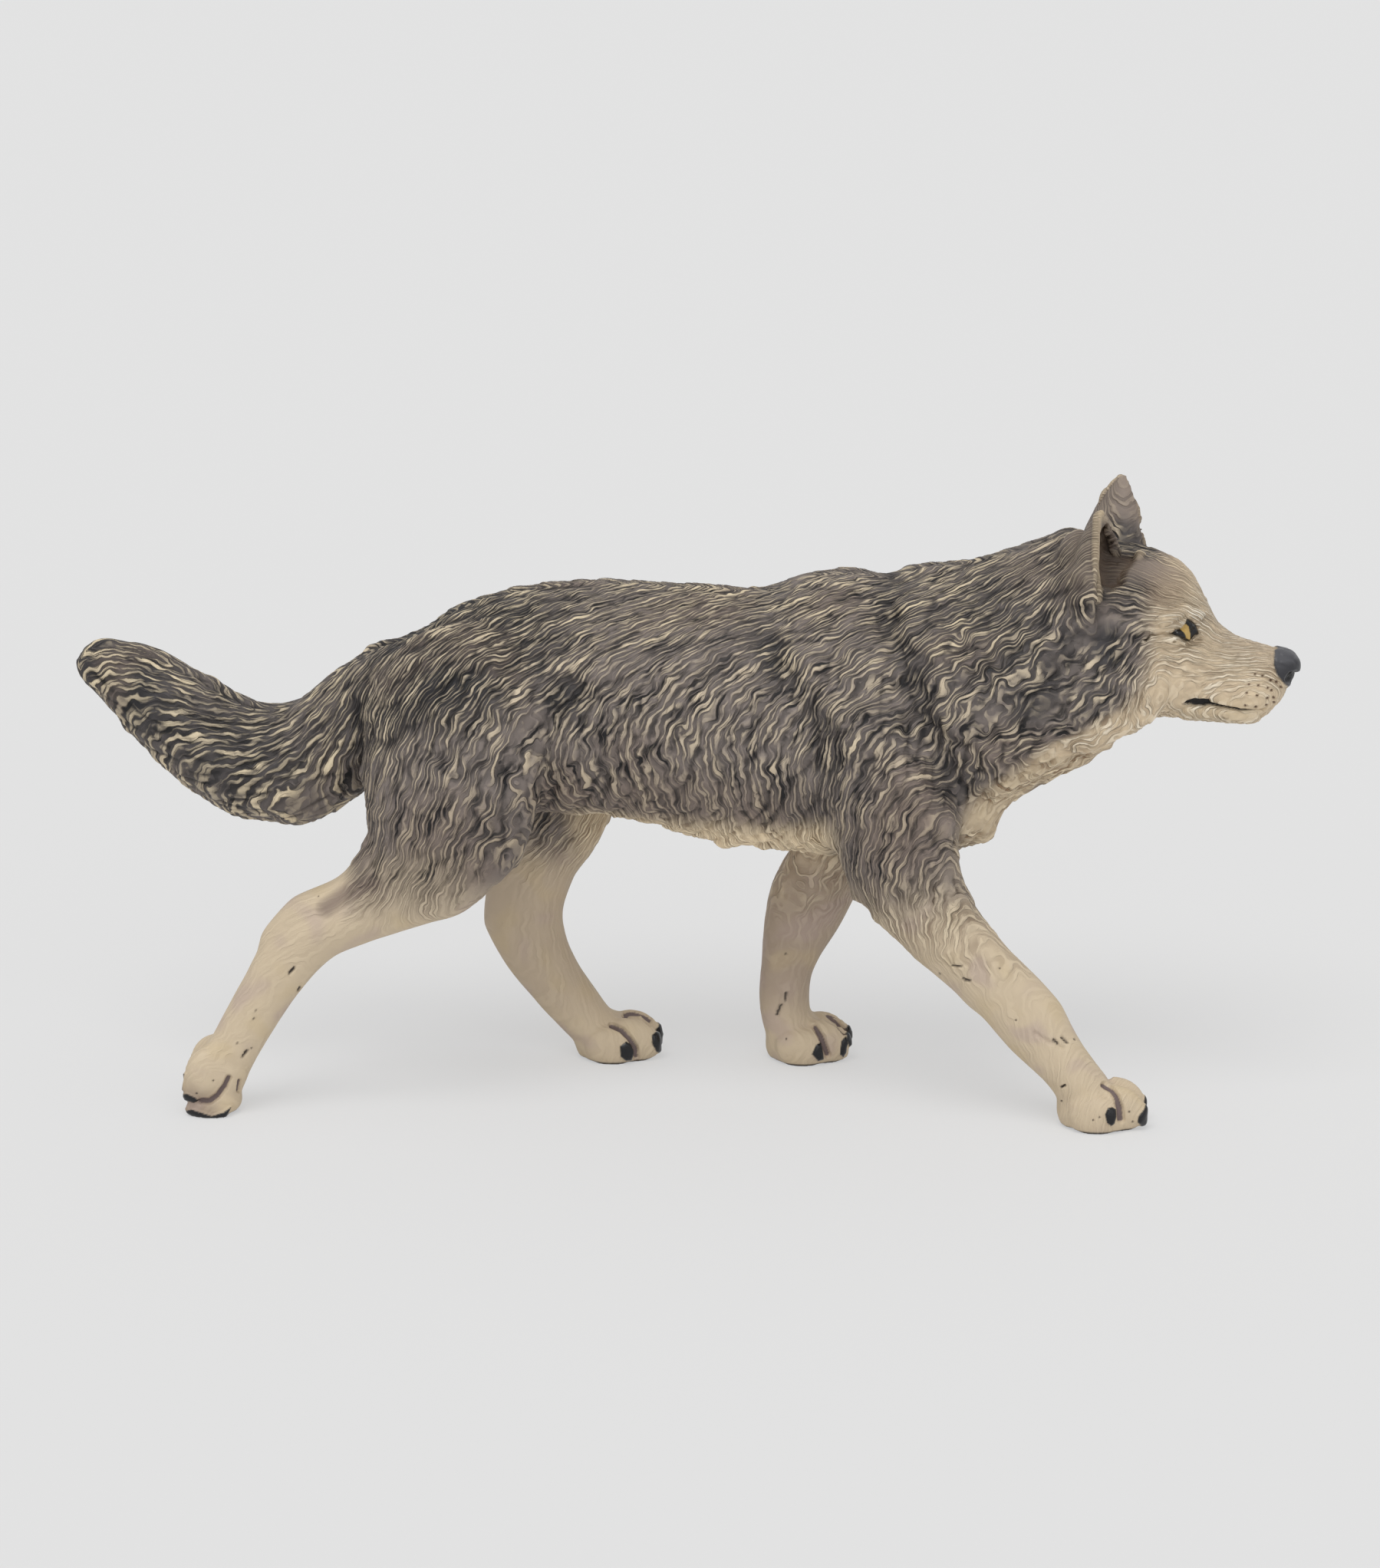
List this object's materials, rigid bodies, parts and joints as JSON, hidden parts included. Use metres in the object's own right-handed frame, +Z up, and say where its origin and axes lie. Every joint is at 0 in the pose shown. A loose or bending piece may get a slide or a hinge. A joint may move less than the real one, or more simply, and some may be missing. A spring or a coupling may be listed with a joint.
{
  "type": "wolf figurine",
  "caption": "Moulded toy wolf in mid stride, carved shaggy coat, low head, pricked ears and raised brush tail, standing on its paws.",
  "frame": {"origin": "on the ground, at the middle of the figurine's length and width", "axes": "+X towards the nose, +Z up; the near flank, which the picture shows, faces -Y"},
  "size_m": [0.13, 0.028, 0.0672],
  "materials": {
    "painted_vinyl": "hand-painted matt vinyl: grey-brown coat with pale dry-brushed crests, cream belly, tan muzzle and lower legs, black nose and claws"
  },
  "bodies": {
    "root": {"wolf_figure": "painted_vinyl"}
  },
  "joints": []
}
